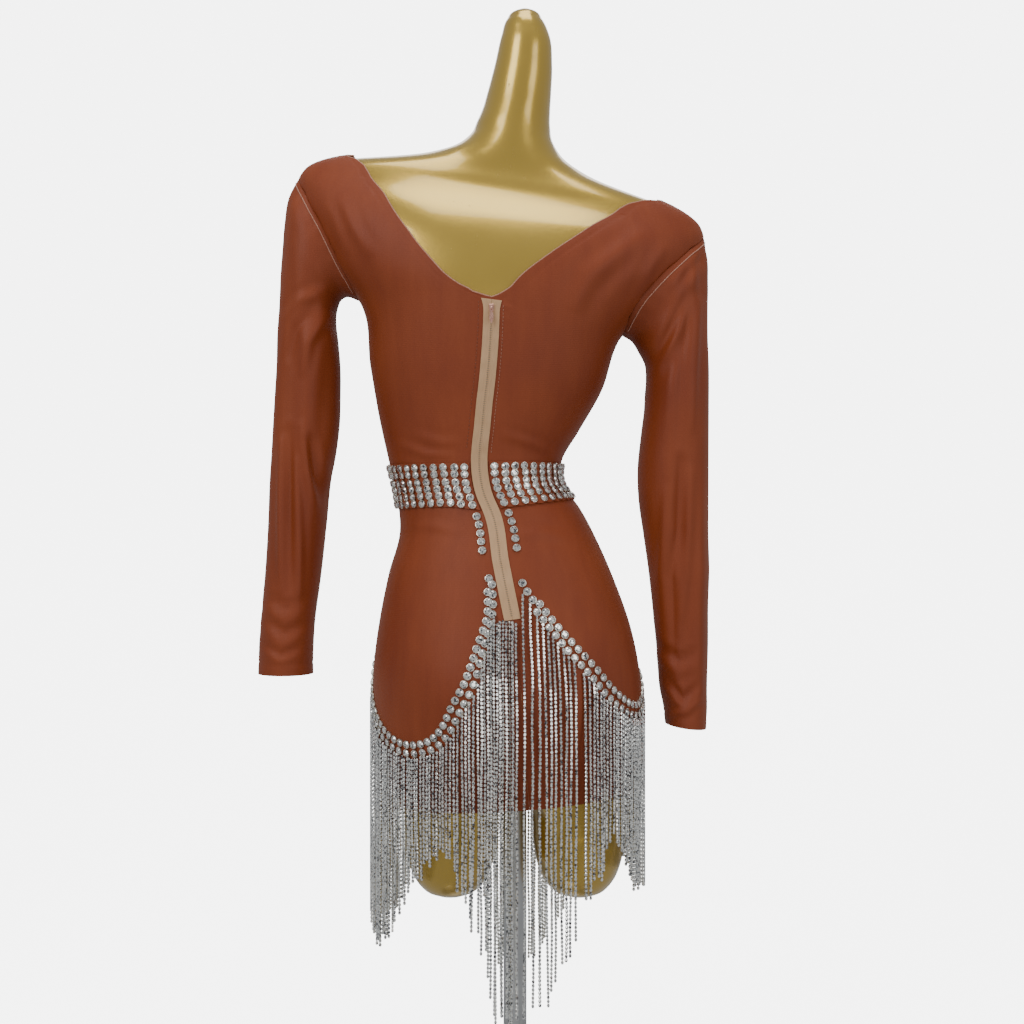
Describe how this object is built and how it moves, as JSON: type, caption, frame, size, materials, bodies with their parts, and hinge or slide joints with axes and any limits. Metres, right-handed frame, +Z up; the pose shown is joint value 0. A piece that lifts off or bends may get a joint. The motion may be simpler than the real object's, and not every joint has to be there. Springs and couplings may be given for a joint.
{
  "type": "fringe dress on a limbless display form with a pole stand",
  "caption": "Long-sleeved rust stretch dress with crystal waistband and crystal chain fringe, worn by a glossy gold limbless display form on a pole stand.",
  "frame": {"origin": "centre of the base's underside, on the surface it stands on", "axes": "+Z up along the pole, -Y towards the zip side of the dress, +X towards the wearer's right arm"},
  "size_m": [0.4892, 0.3, 1.2213],
  "materials": {
    "rust_cloth": "matt rust stretch cloth with a slight sheen",
    "zip_tape": "woven beige zip tape",
    "rose_metal": "polished rose-coloured metal",
    "crystal": "clear foiled crystals in silver claw cups",
    "gold_form": "glossy gold paint with light scuffs",
    "stand_steel": "satin steel"
  },
  "bodies": {
    "root": {"form": "gold_form", "stand_base": "stand_steel", "stand_pole": "stand_steel", "front": "rust_cloth", "back_left": "rust_cloth", "back_right": "rust_cloth", "sleeve_left": "rust_cloth", "sleeve_right": "rust_cloth", "waistband": "crystal", "zip_tape_left": "zip_tape", "zip_tape_right": "zip_tape", "zip_slider": "rose_metal", "fringe_back_left": "crystal", "fringe_back_right": "crystal", "fringe_back_middle": "crystal", "fringe_front_left": "crystal", "fringe_front_right": "crystal"},
    "pull": {"zip_pull": "rose_metal"}
  },
  "joints": [
    {"name": "zip_pull_hinge", "type": "hinge", "parent": "root", "child": "pull", "pos_m": [-0.02403, -0.10608, 0.88387], "axis": [-1, 0, 0], "range_deg": [0, 150]}
  ]
}
